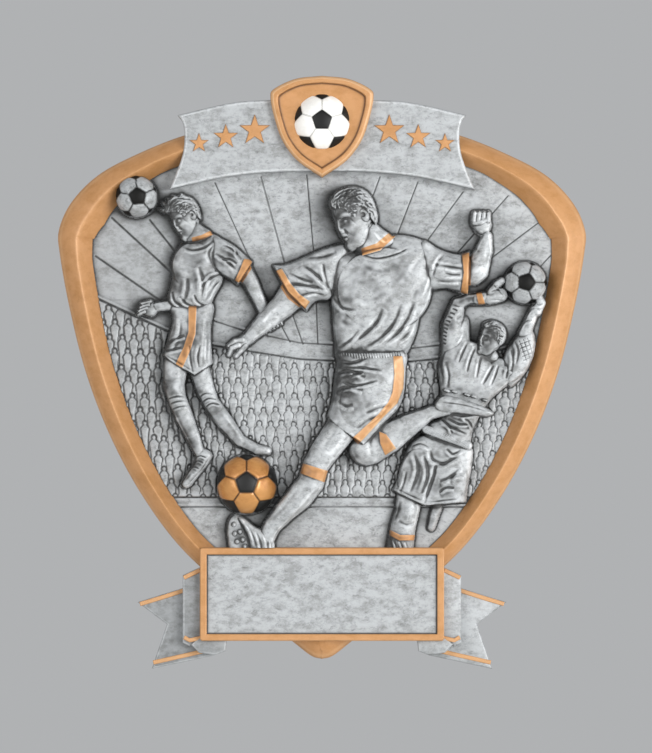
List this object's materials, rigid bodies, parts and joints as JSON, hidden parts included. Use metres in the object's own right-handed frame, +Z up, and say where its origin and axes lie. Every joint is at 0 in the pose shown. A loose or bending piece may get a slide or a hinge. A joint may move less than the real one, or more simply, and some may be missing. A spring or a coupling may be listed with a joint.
{
  "type": "award shield plaque",
  "caption": "Wall-hung cast shield with a football relief, a star banner, a crest and a blank name panel with ribbon tails.",
  "frame": {"origin": "on the flat back of the casting, where it meets the wall, behind the middle of the relief", "axes": "+X to the viewer's right, +Y into the wall, +Z up; the relief faces -Y"},
  "size_m": [0.192, 0.023, 0.2154],
  "materials": {
    "pewter_paint": "antique pewter paint with a black wash in its hollows, over cast resin",
    "gold_paint": "satin bronze-gold paint over cast resin",
    "black_paint": "satin black paint over cast resin",
    "white_paint": "satin white paint over cast resin"
  },
  "bodies": {
    "root": {"shield_plaque": "pewter_paint"}
  },
  "joints": []
}
